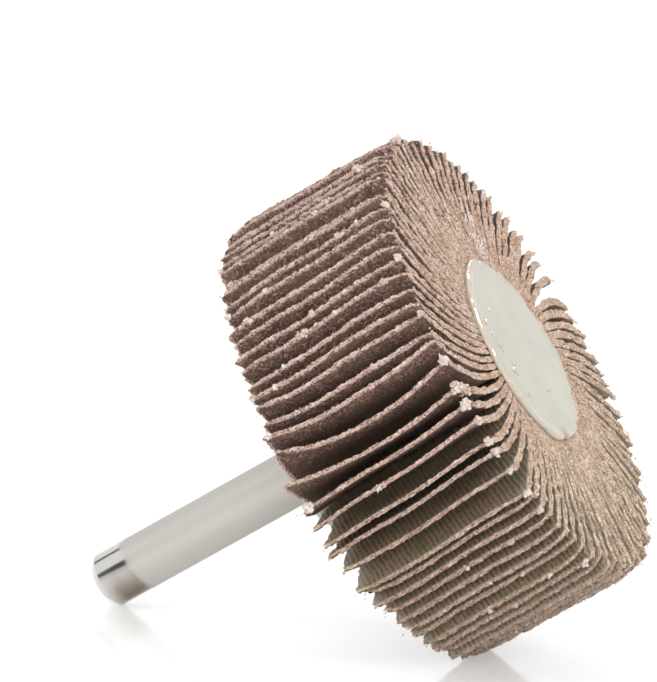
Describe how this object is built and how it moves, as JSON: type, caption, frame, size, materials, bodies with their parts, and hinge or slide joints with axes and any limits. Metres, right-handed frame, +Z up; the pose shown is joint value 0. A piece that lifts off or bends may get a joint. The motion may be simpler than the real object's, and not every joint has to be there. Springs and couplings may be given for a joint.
{
  "type": "mounted flap wheel",
  "caption": "Mounted flap wheel for grinding: abrasive cloth flaps fan out from a cast resin core on a plain steel shank, lying on its shank tip and rim.",
  "frame": {"origin": "on the floor, below the middle of the lying wheel's box", "axes": "+Z up; the shank runs along X and rises from its tip at low X to the wheel at high X; Y is across"},
  "size_m": [0.059, 0.0512, 0.0531],
  "materials": {
    "steel": "satin, polished tip",
    "resin": "glossy, translucent",
    "abrasive_cloth": "rough grit on cotton cloth"
  },
  "bodies": {
    "root": {"shank": "steel", "resin_core": "resin", "flap_pair_01": "abrasive_cloth", "flap_pair_02": "abrasive_cloth", "flap_pair_03": "abrasive_cloth", "flap_pair_04": "abrasive_cloth", "flap_pair_05": "abrasive_cloth", "flap_pair_06": "abrasive_cloth", "flap_pair_07": "abrasive_cloth", "flap_pair_08": "abrasive_cloth", "flap_pair_09": "abrasive_cloth", "flap_pair_10": "abrasive_cloth", "flap_pair_11": "abrasive_cloth", "flap_pair_12": "abrasive_cloth", "flap_pair_13": "abrasive_cloth", "flap_pair_14": "abrasive_cloth", "flap_pair_15": "abrasive_cloth", "flap_pair_16": "abrasive_cloth", "flap_pair_17": "abrasive_cloth", "flap_pair_18": "abrasive_cloth", "flap_pair_19": "abrasive_cloth", "flap_pair_20": "abrasive_cloth", "flap_pair_21": "abrasive_cloth", "flap_pair_22": "abrasive_cloth", "flap_pair_23": "abrasive_cloth", "flap_pair_24": "abrasive_cloth", "flap_pair_25": "abrasive_cloth", "flap_pair_26": "abrasive_cloth", "flap_pair_27": "abrasive_cloth", "flap_pair_28": "abrasive_cloth", "flap_pair_29": "abrasive_cloth", "flap_pair_30": "abrasive_cloth", "flap_pair_31": "abrasive_cloth", "flap_pair_32": "abrasive_cloth", "flap_pair_33": "abrasive_cloth", "flap_pair_34": "abrasive_cloth", "flap_pair_35": "abrasive_cloth", "flap_pair_36": "abrasive_cloth", "flap_pair_37": "abrasive_cloth", "flap_pair_38": "abrasive_cloth", "flap_pair_39": "abrasive_cloth", "flap_pair_40": "abrasive_cloth", "flap_pair_41": "abrasive_cloth", "flap_pair_42": "abrasive_cloth", "flap_pair_43": "abrasive_cloth"}
  },
  "joints": []
}
